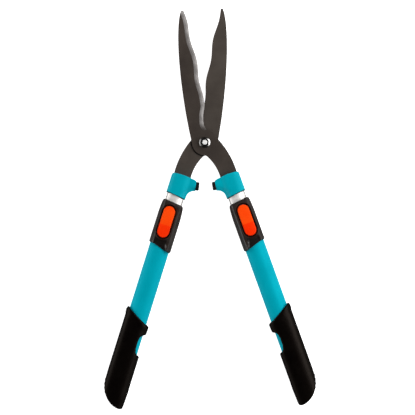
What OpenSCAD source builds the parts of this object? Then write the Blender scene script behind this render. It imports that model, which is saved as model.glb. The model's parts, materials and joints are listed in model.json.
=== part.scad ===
// Telescopic hedge shears, lying flat on their back with the blades part open.
// +Y points to the blade tips and +Z away from the surface they lie on.
// Both halves are drawn closed, on the right of the centre line, with the pivot at the origin.
// half() opens a half about the pivot, and mirrors it for the left one.
// On a handle, s is the distance along it from the pivot's level and t the distance outwards.

/* [Pose] */
// Angle between the two blades
open_angle = 16.4; // [0:0.1:45]

/* [Blades] */
// Pivot to blade tip
blade_l = 228.7; // [200:0.1:250]
// Thickness of the blade steel
blade_t = 3.2; // [2.6:0.1:3.6]
// Gap between the two blades, filled at the pivot by the bearing washer
blade_gap = 0.4; // [0.2:0.1:0.6]
// Radius of the round boss at the pivot
boss_r = 21.8; // [20:0.1:23]
// Width of the blade from its centre line to its back
spine_w = 23.7; // [22:0.1:25]
// Width of the blade from its centre line to the cutting edge
edge_w = 9.4; // [8:0.1:10]
// Height of the waves in the cutting edge
wave_h = 1.6; // [0:0.1:2]
// Length of one wave
wave_l = 70; // [60:1:80]
// Width of the ground bevel
bevel_w = 7; // [5:0.5:8]
// Thickness left at the cutting edge
edge_t = 0.5; // [0.3:0.1:1]

/* [Arms] */
// Width of the flat steel arm below the pivot
arm_w = 30; // [28:0.5:32]
// Radius of the arm's outer side
arm_r = 141.4; // [141:0.1:142]
// Angle of a handle to the centre line when the shears are closed
splay = 10.4; // [10:0.1:11]
// Where the handle's axis crosses the pivot's level
handle_x = 20.55; // [20:0.1:21]

/* [Tubes] */
// Half width of the inner tube
inner_a = 15; // [14.8:0.1:15.1]
// Half height of the inner tube
inner_b = 8.75; // [8.5:0.05:8.9]
// Half width of the outer tube
outer_a = 17.85; // [17.7:0.05:18]
// Half height of the outer tube
outer_b = 11.5; // [11.4:0.05:11.6]
// Wall of both tubes
wall = 1.45; // [1.2:0.05:1.5]
// How far a handle pulls out
travel = 200; // [150:5:200]

/* [Handles] */
// Height of the tubes' middle above the surface
mid_z = 14; // [14:0.5:16]
// Front of the locking sleeve, above the tubes' middle
sleeve_top = 17; // [16.8:0.1:18]
// Half width of the grip
grip_a = 22.2; // [22:0.1:22.4]

/* [Hidden] */
$fn = 64;
// Clearances for each side: of pieces that stay together, and of pieces that slide
fit = 0.05;
slide = 0.15;
// How far a cut reaches past the surface it opens
cut = 1;

// Blade: height where its back is widest, and the powers that shape the back from there to the tip
wide_y = 60;
back_power = [2.06, 0.6];

// Tips: length ground off the front blade's and left on the rear one's, rounding, and its distance
// from the point where the curve of the back would meet the centre line
tip_step = 0.85;
tip_h = 1.6;
tip_cut = 4;

// Cutting edge: its start, the height where it stands out most, and how far it falls back over edge_span
heel_y = 20.6;
edge_y = 85;
edge_span = 130;
edge_fall = 7.2;

// Waves: where they begin to rise, and a crest
wave_start_y = 45;
wave_crest_y = 140;

// Notch at the front blade's heel: its deepest point, its radius below and above that point, and the
// heights between which it runs into the cutting edge
notch_p = [3.7, 32];
notch_r = [20, 66];
notch_blend_y = [54, 70];

// Arm: centre of the outer arc, centre and radius of the inner one
arm_c = [-94.6, -76.4];
arm_inner_c = [-121 + 2 * arm_w, -72.6];
arm_inner_r = 78;

// The arm's full width ends at shoulder_s inside the collar, and its tang goes on to tang_end_s
shoulder_s = 62.2;
shoulder_t = [-15.5, 14.1];
tang_end_s = 92;
tang_t = [-12, 11.5];
pocket_gap = 0.4;

// Stations along a handle
collar_s = 59.6;
tube_s = 72;
core_end_s = 95;
sleeve_s = 107.4;
bush_s = 113;
outer_s = 122;
inner_end_s = 405;
outer_end_s = 425;

// Pivot fastener
bolt_r = 4;
neck_w = 8;
head_r = 10;
head_h = 5;
washer_r = 9.3;
washer_h = 1.5;
nut_flats = 13;
nut_turn = 30;
nut_h = 6.2;
nut_crown_h = 1.6;
bolt_proud = 1.8;
thread_pitch = 1.25;
thread_h = 0.6;
bearing_r = 9;
pin_fit = 0.02;
stack_top = blade_gap / 2 + blade_t;
nut_z = stack_top + washer_h;
bolt_end_z = nut_z + nut_h + nut_crown_h + bolt_proud;

// Rivet that holds collar, inner tube and tang together
rivet_s = 82;
rivet_r = 2.5;
rivet_head_r = 4.4;
rivet_top = 5;
head_sink = 0.3;
head_depth = 1.5;

// Collar: half width, front above the tubes' middle, and where the round part ends below its arm
collar_a = 17.2;
collar_top = 12;
collar_arm_b = 7.5;
collar_arm_s = 89;

// Bumper, a block on the collar's inner arm that meets its twin on the centre line
bumper_gap = 0.5;
bumper_back = 6;
bumper_low = -82.8;
bumper_high = -68.4;
bumper_mid = (bumper_low + bumper_high) / 2;
bumper_b = 6.5;
bumper_chamfer = 1.2;
stem_r = 2.8;
stem_l = 5;

// Lock button, a rocker on a cross axle, with a brake pad under its upper end
button_t = 2;
button_r = 10.1;
button_s = [117, 171.8];
button_top = 16.6;
button_under = 12.3;
button_thin = 14.3;
button_relief_s = 150;
button_rib_s = [134, 146];
button_rib_w = 18;
button_rib_z = 9.45;
well_gap = 1.2;
rim_gap = 3;
rim_depth = 1.2;
axle_s = 140;
axle_z = 11.5;
axle_r = 1.5;
axle_l = 29;
pad_s = [123.5, 131.5];
pad_w = 14;
pad_z = 5;
spring_s = [153.5, 170.5];
spring_w = 7;
spring_rise = 2.2;
spring_t = 0.4;
notch_w = 22;
notch_end_s = 152;
sleeve_a = 20.2;

// Small fasteners of the sleeve and the stop that ends the handle's travel
screw_s = 179;
screw_r = 1.5;
screw_head_r = 3.2;
screw_head_h = 1.2;
screw_slot = [3.6, 0.8, 1.8];
stop_r = 1.5;
stop_head_r = 2.8;
stop_head_h = 0.9;
plug_l = 20;
plug_flange = 6;
plug_bore = [9.5, 4.5];
end_plug_l = 12;
end_plug_floor = 3;
end_plug_bore = [12.5, 6.5];
stop_s = inner_end_s - travel - stop_r - 0.3;
stop_tip_z = -inner_b - 0.4;

// Grip: its axis lies a little inside the tube's
grip_t = -0.65;
grip_b = mid_z;
hollow_t = -5;
hollow_end_s = 446;
hollow_size = [11, 8];
rim_h = 0.9;
rib_r = 2.4;
rib_l = 16;
rib_proud = 0.8;

// Lower end of a handle
tail_s = 471.5;
tail_t = -17.5;

// The rest pose is centred on the origin: half the length lies on each side
function up(p) = p[0] * sin(open_angle / 2) + p[1] * cos(open_angle / 2);
tip_y = max([for (phase = [-1, 1]) for (p = tip_points(phase)) up(p)]);
pivot_y = -(tip_y + up(hp(tail_s, tail_t))) / 2;

// ---- helpers ----

// Points of an arc, without its last point
function arc(c, r, a0, a1, n) = [for (i = [0 : n - 1]) let (a = a0 + (a1 - a0) * i / n)
    [c[0] + r * cos(a), c[1] + r * sin(a)]];

// Closed-frame point of a place on the handle
function hp(s, t) = [handle_x + s * sin(splay) + t * cos(splay), -s * cos(splay) + t * sin(splay)];

// Oval of half width a and half height b, made of four arcs, with end radius r
function oval(a, b, r, n = 12) =
    let (c = a - r, big = (c * c + b * b - r * r) / (2 * (b - r)), e = atan2(big - b, c))
    concat(
        arc([c, 0], r, -e, e, n),
        arc([0, b - big], big, e, 180 - e, n),
        arc([-c, 0], r, 180 - e, 180 + e, n),
        arc([0, big - b], big, 180 + e, 360 - e, n)
    );

function smooth(x) = let (k = max(0, min(1, x))) k * k * (3 - 2 * k);

module half(side) {
    translate([0, pivot_y, mid_z])
        rotate([0, 0, side * open_angle / 2])
            mirror([side < 0 ? 1 : 0, 0, 0])
                children();
}

module handle_frame() {
    translate([handle_x, 0, 0]) rotate([0, 0, splay]) children();
}

module handle(side) {
    half(side) handle_frame() children();
}

// A section, drawn across the handle, carried from s0 to s1
module along(s0, s1) {
    translate([0, -s0, 0]) rotate([90, 0, 0]) linear_extrude(s1 - s0) children();
}

// An outline of [t, s] points, carried from z0 to z1
module plate(z0, z1, points) {
    translate([0, 0, z0]) linear_extrude(z1 - z0) polygon([for (p = points) [p[0], -p[1]]]);
}

module tube_section(a, b, grow = 0) {
    polygon(oval(a + grow, b + grow, b * 0.72 + grow));
}

// Section with a flat back that rests on the surface, half width a and corner radii front and back
module flat_back_section(a, top, front, back) {
    polygon(concat(
        arc([a - back, back - mid_z], back, -90, 0, 8),
        arc([a - front, top - front], front, 0, 90, 10),
        arc([front - a, top - front], front, 90, 180, 10),
        arc([back - a, back - mid_z], back, 180, 270, 8)
    ));
}

// A slot with round ends along the handle, from s0 to s1
module slot_plate(z0, z1, t, r, s0, s1) {
    translate([0, 0, z0]) linear_extrude(z1 - z0) union() {
        translate([t, -s0 - r]) circle(r);
        translate([t, -s1 + r]) circle(r);
        translate([t - r, -s1 + r]) square([2 * r, s1 - s0 - 2 * r]);
    }
}

// ---- blades ----

// Blades are drawn with phase 1 for the front one and -1 for the rear one.
// Height where the rounding of the tip starts
function tip_at(phase) = blade_l - tip_h - tip_step * phase;

// Back of the blade at height y
function spine_x(y, phase) =
    let (u = (y - wide_y) / (tip_at(phase) + tip_cut - wide_y))
    y < wide_y
        ? -(boss_r + (spine_w - boss_r) * sin(90 * y / wide_y))
        : -spine_w * pow(1 - pow(u, back_power[0]), back_power[1]);

// Wave in the cutting edge, rising from nothing at its lower end
function wave(y, phase) = phase * wave_h * max(0, min(1, y / wave_start_y - 1))
    * cos(360 * (y - wave_crest_y) / wave_l);

// Cutting edge at height y: a wavy line, which in the front blade runs into a round notch at the heel
function edge_x(y, phase) =
    let (
        rise = min(y, notch_blend_y[1]) - notch_p[1],
        r = rise < 0 ? notch_r[0] : notch_r[1],
        notch = notch_p[0] + r - sqrt(r * r - rise * rise),
        line = edge_w - edge_fall * pow((y - edge_y) / edge_span, 2) + wave(y, phase),
        k = phase > 0 ? smooth((y - notch_blend_y[0]) / (notch_blend_y[1] - notch_blend_y[0])) : 1
    )
    notch * (1 - k) + line * k;

// Points over the blunt tip, from the back to the cutting edge
function tip_points(phase) =
    let (y = tip_at(phase), back = spine_x(y, phase), front = edge_x(y, phase), a = (front - back) / 2)
    [for (i = [1 : 5]) [(back + front) / 2 - a * cos(30 * i), y + tip_h * sin(30 * i)]];

function blade_outline(phase) = concat(
    [for (y = [0 : 6 : tip_at(phase) - 7]) [spine_x(y, phase), y]],
    [for (y = [tip_at(phase) - 6 : 1.5 : tip_at(phase)]) [spine_x(y, phase), y]],
    tip_points(phase),
    [for (y = [tip_at(phase) : -4 : 60]) [edge_x(y, phase), y]],
    [for (y = [58 : -2 : heel_y]) [edge_x(y, phase), y]],
    arc([0, 0], boss_r, 68, 12, 15),
    arc(arm_c, arm_r, 34.5, 8, 14),
    [for (p = [[shoulder_s, shoulder_t[1]], [shoulder_s, tang_t[1]], [tang_end_s, tang_t[1]],
        [tang_end_s, tang_t[0]], [shoulder_s, tang_t[0]], [shoulder_s, shoulder_t[0]]]) hp(p[0], p[1])],
    arc(arm_inner_c, arm_inner_r, 8, 36, 13),
    [[-0.2, -23.6], [-2.2, -22.5]],
    arc([0, 0], boss_r, -99, -180, 20)
);

// Wedge of steel that grinding takes off along the cutting edge
module grinding(phase) {
    beyond = 1.5;
    ring_step = 3.2;
    slope = (blade_t - edge_t) / bevel_w;
    top = blade_l + 1;
    rings = [for (y = [heel_y : ring_step : top + ring_step]) let (x = edge_x(min(y, top), phase)) [
        [x + beyond, y, edge_t - slope * beyond],
        [x - bevel_w - 1, y, blade_t + slope],
        [x + beyond, y, blade_t + 1],
    ]];
    n = len(rings);
    polyhedron(
        points = [for (r = rings) for (p = r) p],
        faces = concat(
            [[0, 1, 2], [3 * n - 1, 3 * n - 2, 3 * n - 3]],
            [for (i = [0 : n - 2]) for (k = [0 : 2]) let (a = 3 * i + k, b = 3 * i + (k + 1) % 3)
                each [[a, a + 3, b], [b, a + 3, b + 3]]]
        )
    );
}

module blade(phase) {
    difference() {
        linear_extrude(blade_t) polygon(blade_outline(phase));
        grinding(phase);
        handle_frame() translate([0, -rivet_s, -cut]) cylinder(r = rivet_r + fit, h = blade_t + 2 * cut);
    }
}

module blade_front() {
    color("#403a36") half(1) translate([0, 0, blade_gap / 2]) difference() {
        blade(1);
        translate([0, 0, -cut]) cylinder(r = bolt_r + fit, h = blade_t + 2 * cut);
    }
}

module blade_rear() {
    color("#403a36") half(-1) mirror([0, 0, 1]) translate([0, 0, blade_gap / 2]) difference() {
        blade(-1);
        translate([0, 0, blade_t / 2])
            cube([neck_w + 2 * fit, neck_w + 2 * fit, blade_t + 2 * cut], center = true);
    }
}

// ---- pivot ----

module bearing_washer() {
    color("#b08d4c") half(-1) difference() {
        translate([0, 0, -blade_gap / 2]) cylinder(r = bearing_r, h = blade_gap);
        translate([0, 0, -cut]) cylinder(r = bolt_r + fit, h = 2 * cut);
    }
}

module pivot_bolt() {
    dome_r = (head_r * head_r + head_h * head_h) / (2 * head_h);
    chamfer = 0.8;
    threads = floor((bolt_end_z - nut_z) / thread_pitch);
    profile = concat(
        [[0, -stack_top], [bolt_r, -stack_top], [bolt_r, nut_z]],
        [for (i = [0 : threads - 1]) each [
            [bolt_r - thread_h, nut_z + (i + 0.5) * thread_pitch],
            [bolt_r, nut_z + (i + 1) * thread_pitch],
        ]],
        [[bolt_r - chamfer, bolt_end_z], [0, bolt_end_z]]
    );
    color("#c9c9cc") half(-1) union() {
        rotate_extrude() polygon(profile);
        translate([0, 0, -stack_top + blade_t / 2]) cube([neck_w, neck_w, blade_t], center = true);
        intersection() {
            translate([0, 0, dome_r - stack_top - head_h]) sphere(dome_r);
            translate([0, 0, -stack_top - head_h]) cylinder(r = head_r, h = head_h);
        }
    }
}

module pivot_washer() {
    color("#d8d8da") half(-1) translate([0, 0, stack_top]) difference() {
        cylinder(r = washer_r, h = washer_h);
        translate([0, 0, -cut]) cylinder(r = bolt_r + 2 * slide, h = washer_h + 2 * cut);
    }
}

module pivot_nut() {
    corner_r = nut_flats / 2 / cos(30);
    chamfer = 0.6;
    crown_r = nut_flats / 2 - 0.9;
    color("#262525") half(-1) translate([0, 0, nut_z]) difference() {
        union() {
            intersection() {
                rotate(nut_turn) cylinder(r = corner_r, h = nut_h, $fn = 6);
                cylinder(r1 = corner_r + nut_h - chamfer, r2 = corner_r - chamfer, h = nut_h);
            }
            cylinder(r = crown_r, h = nut_h + nut_crown_h);
        }
        translate([0, 0, -cut]) cylinder(r = bolt_r + pin_fit, h = nut_h + nut_crown_h + 2 * cut);
    }
}

// ---- collars ----

collar_outline = concat(
    [[collar_a, 96], [collar_a, 64.6], [16.6, 62.6], [14.8, 61.2]],
    [for (t = [12 : -3 : -15]) [t, collar_s + 0.2 + 0.006 * t * t]],
    [[-22, 61.9], [-26.9, 63.1], [-28.4, 64.1], [-31, 78.9]],
    arc([-31.4, 94.4], 14.4, -80, -12, 8),
    [[-17.1, 96], [-16.9, 99.8], [-15.6, 100]],
    [for (t = [-12 : 3 : 15]) [t, 96 + 0.13 * (15 - t) - 0.8 * (1 - pow(t / 15, 2))]]
);

module collar(side) {
    tang_z = side > 0 ? blade_gap / 2 : -blade_gap / 2 - blade_t;
    color("#0aa0ae") difference() {
        handle(side) intersection() {
            plate(-mid_z - cut, collar_top + cut, collar_outline);
            union() {
                along(collar_s - 1, core_end_s + 7) flat_back_section(collar_a, collar_top, 9, 5);
                along(collar_s - 1, collar_arm_s)
                    translate([-40, -collar_arm_b]) square([40, 2 * collar_arm_b]);
            }
        }
        // flat end of the arm, against which the bumper sits
        half(side) translate([bumper_back - 20, bumper_low - 10, -mid_z]) cube([20, 40, 2 * mid_z]);
        // socket for the tube around a core, and the slot for the tang in the core
        handle(side) difference() {
            along(tube_s, core_end_s + 8) tube_section(inner_a, inner_b, fit);
            along(tube_s - 1, core_end_s) tube_section(inner_a - wall, inner_b - wall, -fit);
        }
        // pocket for the arm's end
        handle(side) translate([0, 0, tang_z - fit]) linear_extrude(blade_t + 2 * fit) union() {
            translate([tang_t[0] - pocket_gap, -tang_end_s - pocket_gap])
                square([tang_t[1] - tang_t[0] + 2 * pocket_gap, tang_end_s - collar_s + 10]);
            translate([shoulder_t[0] - pocket_gap, -shoulder_s - pocket_gap])
                square([shoulder_t[1] - shoulder_t[0] + 2 * pocket_gap, 10]);
        }
        handle(side) translate([0, -rivet_s, -mid_z - cut]) {
            cylinder(r = rivet_r + fit, h = mid_z + rivet_top + 1.5 * cut);
            cylinder(r = rivet_head_r + fit, h = cut + head_depth);
        }
        half(side) translate([bumper_back - cut, bumper_mid, 0]) rotate([0, 90, 0])
            cylinder(r = stem_r + fit, h = stem_l + 1.2 * cut);
    }
}

module bumper(side) {
    x0 = bumper_gap;
    x1 = bumper_back;
    c = bumper_chamfer;
    color("#161616") half(side) union() {
        translate([0, 0, -bumper_b]) linear_extrude(2 * bumper_b) polygon([
            [x1, bumper_low], [x1, bumper_high], [x0 + c, bumper_high], [x0, bumper_high - c],
            [x0, bumper_low + c], [x0 + c, bumper_low],
        ]);
        translate([x1 - cut, bumper_mid, 0]) rotate([0, 90, 0]) cylinder(r = stem_r, h = stem_l + cut);
    }
}

module tang_rivet(side) {
    color("#9a9a9e") handle(side) translate([0, -rivet_s, 0]) union() {
        translate([0, 0, -mid_z + head_sink]) {
            cylinder(r = rivet_r, h = mid_z + rivet_top);
            cylinder(r = rivet_head_r, h = head_depth - head_sink);
        }
    }
}

// ---- tubes ----

module inner_tube(side) {
    color("#d9dadc") handle(side) difference() {
        along(tube_s + fit, inner_end_s) tube_section(inner_a, inner_b);
        along(tube_s - cut, inner_end_s + cut) tube_section(inner_a - wall, inner_b - wall);
        translate([0, -rivet_s, -inner_b - cut]) cylinder(r = rivet_r + fit, h = inner_b);
    }
}

module slide_plug(side) {
    color("#2b2b2d") handle(side) difference() {
        union() {
            along(inner_end_s - plug_l, inner_end_s + cut)
                tube_section(inner_a - wall, inner_b - wall, -fit);
            along(inner_end_s + fit, inner_end_s + plug_flange)
                tube_section(outer_a - wall, outer_b - wall, -slide);
        }
        along(inner_end_s - plug_l - cut, inner_end_s + plug_flange + cut)
            tube_section(plug_bore[0], plug_bore[1]);
    }
}

module outer_tube(side) {
    color("#0aa4b4") handle(side) difference() {
        along(outer_s, outer_end_s) tube_section(outer_a, outer_b);
        along(outer_s - cut, outer_end_s + cut) tube_section(outer_a - wall, outer_b - wall);
        translate([button_t - notch_w / 2, -notch_end_s, 0])
            cube([notch_w, notch_end_s - outer_s + cut, outer_b + cut]);
        for (hole = [[screw_s, screw_r], [stop_s, stop_r]])
            translate([0, -hole[0], -outer_b - cut]) cylinder(r = hole[1] + fit, h = outer_b / 2);
    }
}

module end_plug(side) {
    color("#2b2b2d") handle(side) difference() {
        along(outer_end_s - end_plug_l, outer_end_s) tube_section(outer_a - wall, outer_b - wall, -fit);
        along(outer_end_s - end_plug_l - cut, outer_end_s - end_plug_floor)
            tube_section(end_plug_bore[0], end_plug_bore[1]);
    }
}

module stop_rivet(side) {
    color("#b5b6b8") handle(side) translate([0, -stop_s, -outer_b - stop_head_h]) union() {
        cylinder(r = stop_r, h = stop_tip_z + outer_b + stop_head_h);
        cylinder(r = stop_head_r, h = stop_head_h);
    }
}

// ---- locking sleeves ----

sleeve_outline = concat(
    [[20.1, 183.6], [20, 132], [19.6, 121], [18.8, 112], [17.6, 108.4], [15.8, sleeve_s]],
    [[-15.6, sleeve_s + 3.8], [-17.4, 112.6], [-18.6, 118], [-19.4, 126], [-19.9, 136]],
    [[-20, 192.6], [-19, 193.8]],
    [for (t = [-17 : 3 : 16]) [t, 184.6 + 9.2 * smooth((19 - t) / 40)]],
    [[19.2, 184.4]]
);

module lock_sleeve(side) {
    color("#2e2a28") handle(side) difference() {
        intersection() {
            plate(-mid_z - cut, sleeve_top + cut, sleeve_outline);
            along(sleeve_s - 2, 198) flat_back_section(sleeve_a, sleeve_top, 10, 6);
        }
        along(sleeve_s - 3, bush_s + 2) tube_section(inner_a, inner_b, 2 * slide);
        along(bush_s, 200) tube_section(outer_a, outer_b, fit);
        // well of the button, and the shallow rim round it
        slot_plate(outer_b - 3.5, sleeve_top + cut, button_t, button_r + well_gap,
            button_s[0] - well_gap, button_s[1] + well_gap);
        slot_plate(sleeve_top - rim_depth, sleeve_top + cut, button_t, button_r + rim_gap,
            button_s[0] - rim_gap, button_s[1] + rim_gap);
        translate([button_t - axle_l / 2, -axle_s, axle_z])
            rotate([0, 90, 0]) cylinder(r = axle_r, h = axle_l);
        translate([0, -screw_s, -mid_z - cut]) {
            cylinder(r = screw_r + fit, h = mid_z / 2);
            cylinder(r = screw_head_r + slide, h = cut + head_sink + screw_head_h + slide);
        }
    }
}

module guide_bush(side) {
    color("#d8d6cf") handle(side) along(bush_s + 2 * fit, outer_s - 4 * fit) difference() {
        tube_section(outer_a, outer_b, -fit);
        tube_section(inner_a, inner_b, slide);
    }
}

module sleeve_screw(side) {
    color("#8d8e92") handle(side) translate([0, -screw_s, 0]) difference() {
        union() {
            translate([0, 0, -mid_z + head_sink]) cylinder(r = screw_r, h = stop_tip_z + mid_z - head_sink);
            translate([0, 0, -mid_z + head_sink]) cylinder(r = screw_head_r, h = screw_head_h);
        }
        for (a = [0, 90]) translate([0, 0, -mid_z]) rotate([0, 0, a]) cube(screw_slot, center = true);
    }
}

module lock_button(side) {
    rib_l = button_rib_s[1] - button_rib_s[0];
    color("#ff4a12") handle(side) difference() {
        union() {
            slot_plate(button_under, button_top, button_t, button_r, button_s[0], button_s[1]);
            translate([button_t - button_rib_w / 2, -button_rib_s[1], button_rib_z])
                cube([button_rib_w, rib_l, button_top - button_rib_z - cut]);
        }
        // thinner at the lower end, so that it can sink
        translate([button_t - axle_l / 2, -button_s[1] - cut, button_under - cut])
            cube([axle_l, button_s[1] + cut - button_relief_s, button_thin - button_under + cut]);
        translate([button_t - axle_l / 2, -axle_s, axle_z]) rotate([0, 90, 0])
            cylinder(r = axle_r + fit, h = axle_l);
    }
}

module brake_pad(side) {
    color("#3b3b3d") handle(side) difference() {
        translate([button_t - pad_w / 2, -pad_s[1], pad_z])
            cube([pad_w, pad_s[1] - pad_s[0], button_under - pad_z]);
        along(pad_s[0] - cut, pad_s[1] + cut) tube_section(inner_a, inner_b, slide);
    }
}

module button_axle(side) {
    color("#a9aaad") handle(side) translate([button_t - axle_l / 2 + fit, -axle_s, axle_z])
        rotate([0, 90, 0]) cylinder(r = axle_r - pin_fit, h = axle_l - 2 * fit);
}

// A bowed strip, with its ends on the tube and its crown just under the button
module button_spring(side) {
    steps = 12;
    function bow(i) = [
        spring_s[0] + (spring_s[1] - spring_s[0]) * i / steps,
        spring_rise * sin(180 * i / steps),
    ];
    color("#b7b8ba") handle(side) translate([button_t - spring_w / 2, 0, outer_b + fit])
        rotate([90, 0, 90]) linear_extrude(spring_w) polygon(concat(
            [for (i = [0 : steps]) [-bow(i)[0], bow(i)[1]]],
            [for (i = [steps : -1 : 0]) [-bow(i)[0], bow(i)[1] + spring_t]]
        ));
}

// ---- grips ----

grip_end_c = [-17.7, 425.5];
grip_end_r = [39.2, 45.5];
// Side points at grip_clear lie outside the grip's section, which then sets its width
grip_clear = grip_a + 3;
grip_outline = concat(
    [[-19.5, 323], [20.2, 301], [grip_clear, 302.5], [grip_clear, grip_end_c[1] - 1]],
    [for (p = arc([0, 0], 1, 0, 88, 16)) [
        grip_end_c[0] + grip_end_r[0] * p[0],
        grip_end_c[1] + grip_end_r[1] * p[1],
    ]],
    [[tail_t, tail_s], [-20.4, 470.2], [-21.6, 467], [-22.6, 440]],
    [[-grip_clear, 430], [-grip_clear, 379.5]],
    [[-22.2, 378], [-17.6, 376], [-14.4, 371], [-13, 364], [-12.8, 352], [-14, 345], [-16.6, 341.4]],
    [[-21.8, 338.6], [-22.4, 337], [-22.4, 325.4], [-21.4, 323.9]]
);

// Rim along the grip's slanted mouth
rim_outline = [
    [-19.5, 323], [20.2, 301], [grip_clear, 302.5], [grip_clear, 312], [20.8, 313.6],
    [-22.4, 336], [-22.4, 325.4], [-21.4, 323.9],
];

module grip(side) {
    color("#151313") handle(side) difference() {
        union() {
            intersection() {
                plate(-mid_z - cut, mid_z + cut, grip_outline);
                translate([grip_t, 0, 0]) along(298, 475) tube_section(grip_a, grip_b);
            }
            intersection() {
                plate(-mid_z, mid_z + cut, rim_outline);
                translate([grip_t, 0, 0]) along(298, 340) tube_section(grip_a, grip_b, rim_h);
            }
            // ribs round the outer heel of the grip
            for (a = [6, 15, 24, 33]) translate([
                grip_end_c[0] + (grip_end_r[0] - rib_r + rib_proud) * cos(a),
                -grip_end_c[1] - (grip_end_r[1] - rib_r + rib_proud) * sin(a),
                -rib_l / 2,
            ]) cylinder(r = rib_r, h = rib_l);
        }
        along(295, outer_end_s + 4 * fit) tube_section(outer_a, outer_b, fit);
        along(outer_end_s, hollow_end_s)
            translate([hollow_t, 0]) tube_section(hollow_size[0], hollow_size[1]);
    }
}

blade_front();
blade_rear();
bearing_washer();
pivot_bolt();
pivot_washer();
pivot_nut();
collar(-1);  // collar_left
collar(1);  // collar_right
bumper(-1);  // bumper_left
bumper(1);  // bumper_right
tang_rivet(-1);  // tang_rivet_left
tang_rivet(1);  // tang_rivet_right
inner_tube(-1);  // inner_tube_left
inner_tube(1);  // inner_tube_right
slide_plug(-1);  // slide_plug_left
slide_plug(1);  // slide_plug_right
guide_bush(-1);  // guide_bush_left
guide_bush(1);  // guide_bush_right
lock_sleeve(-1);  // lock_sleeve_left
lock_sleeve(1);  // lock_sleeve_right
sleeve_screw(-1);  // sleeve_screw_left
sleeve_screw(1);  // sleeve_screw_right
lock_button(-1);  // lock_button_left
lock_button(1);  // lock_button_right
brake_pad(-1);  // brake_pad_left
brake_pad(1);  // brake_pad_right
button_axle(-1);  // button_axle_left
button_axle(1);  // button_axle_right
button_spring(-1);  // button_spring_left
button_spring(1);  // button_spring_right
outer_tube(-1);  // outer_tube_left
outer_tube(1);  // outer_tube_right
stop_rivet(-1);  // stop_rivet_left
stop_rivet(1);  // stop_rivet_right
end_plug(-1);  // end_plug_left
end_plug(1);  // end_plug_right
grip(-1);  // grip_left
grip(1);  // grip_right
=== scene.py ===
import math

import bmesh
import bpy
from mathutils import Matrix, Vector
from mathutils.geometry import convex_hull_2d
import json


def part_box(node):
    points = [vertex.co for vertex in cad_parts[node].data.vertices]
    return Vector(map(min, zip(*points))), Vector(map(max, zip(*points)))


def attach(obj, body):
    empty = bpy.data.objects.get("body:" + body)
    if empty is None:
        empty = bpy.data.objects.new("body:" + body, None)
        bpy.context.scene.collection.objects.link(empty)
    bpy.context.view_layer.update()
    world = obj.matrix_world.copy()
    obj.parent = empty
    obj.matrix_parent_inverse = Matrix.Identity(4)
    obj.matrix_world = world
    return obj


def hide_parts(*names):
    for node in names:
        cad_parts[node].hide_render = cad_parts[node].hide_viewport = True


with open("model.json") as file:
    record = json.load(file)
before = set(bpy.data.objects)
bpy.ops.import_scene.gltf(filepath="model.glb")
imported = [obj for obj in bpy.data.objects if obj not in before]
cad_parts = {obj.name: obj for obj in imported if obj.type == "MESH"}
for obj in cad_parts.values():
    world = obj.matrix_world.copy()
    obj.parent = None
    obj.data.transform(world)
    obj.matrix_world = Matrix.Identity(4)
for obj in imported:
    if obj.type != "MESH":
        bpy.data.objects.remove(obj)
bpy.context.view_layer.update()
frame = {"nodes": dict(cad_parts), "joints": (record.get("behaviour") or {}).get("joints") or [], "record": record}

# Looks of the telescopic hedge shears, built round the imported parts.
# On a handle, s is the distance along it from the pivot's level, t the distance outwards and z the height.

MM = 0.001
SIDES = ("left", "right")
joints = {j["name"]: j for j in frame["joints"]}
mounts = {m["name"]: m for m in frame["record"]["mounts"]}
pivot = Vector(joints["blade_pivot"]["pos_m"])
mid = pivot.z
MOUNT_S = 150 * MM  # station of the mounts that the shears rest on
BUTTON_T = 2 * MM  # the buttons stand this far outside their handle's axis


def handle_matrix(side):
    """The matrix that takes (s, t, z) of one handle to the shared frame."""
    along = Vector(joints[side + "_extend"]["axis"])
    out = Vector((-along.y, along.x, 0)) * (1 if side == "right" else -1)
    origin = Vector(mounts["rest_" + side]["pos_m"]) - along * MOUNT_S
    turn = Matrix((along, out, Vector((0, 0, 1)))).transposed().to_4x4()
    return Matrix.Translation(origin) @ turn


FROM_HANDLE = {side: handle_matrix(side) for side in SIDES}


def on_handle(side, s, t=0.0):
    """The place (s, t) of a handle, at height 0."""
    return FROM_HANDLE[side] @ Vector((s, t, 0))


def toward(side, s, t):
    """The direction (s, t) of a handle."""
    return FROM_HANDLE[side].to_3x3() @ Vector((s, t, 0))


def reach(node):
    """Lowest and highest (s, t, z) of a CAD node that belongs to a handle."""
    back = FROM_HANDLE[node.rsplit("_", 1)[1]].inverted()
    points = [back @ v.co for v in frame["nodes"][node].data.vertices]
    return tuple(Vector(pick(p[i] for p in points) for i in range(3)) for pick in (min, max))


# ---- shaping ----


def in_mm(*points):
    """Points (s, t) that are given in millimetres."""
    return [(s * MM, t * MM) for s, t in points]


def smooth(x):
    """0 below 0, 1 above 1, and an even S between them."""
    k = max(0.0, min(1.0, x))
    return k * k * (3 - 2 * k)


def soft_max(a, b, width):
    """The larger of two heights, rounded where they cross."""
    k = max(0.0, width - abs(a - b)) / width
    return max(a, b) + k * k * width / 4


def arc(centre, radii, start, end, count):
    """Points (s, t) of an ellipse's arc, angles in degrees from +s towards +t."""
    steps = [math.radians(start + (end - start) * i / (count - 1)) for i in range(count)]
    return [(centre[0] + radii[0] * math.cos(a), centre[1] + radii[1] * math.sin(a)) for a in steps]


def oval_height(t, half_width, half_height, power):
    """Half the height of an oval section at distance t from its middle."""
    x = min(1.0, abs(t) / half_width)
    return half_height * (1 - x**power) ** (1 / power)


def spread(low, high, count):
    """Places from low to high, closer together at both ends."""
    middle, half = (low + high) / 2, (high - low) / 2
    return [middle - half * math.cos(math.pi * i / count) for i in range(1, count)]


def evenly(low, high, step):
    """Places between low and high, about a step apart."""
    count = max(1, round((high - low) / step))
    return [low + (high - low) * i / count for i in range(1, count)]


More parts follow.
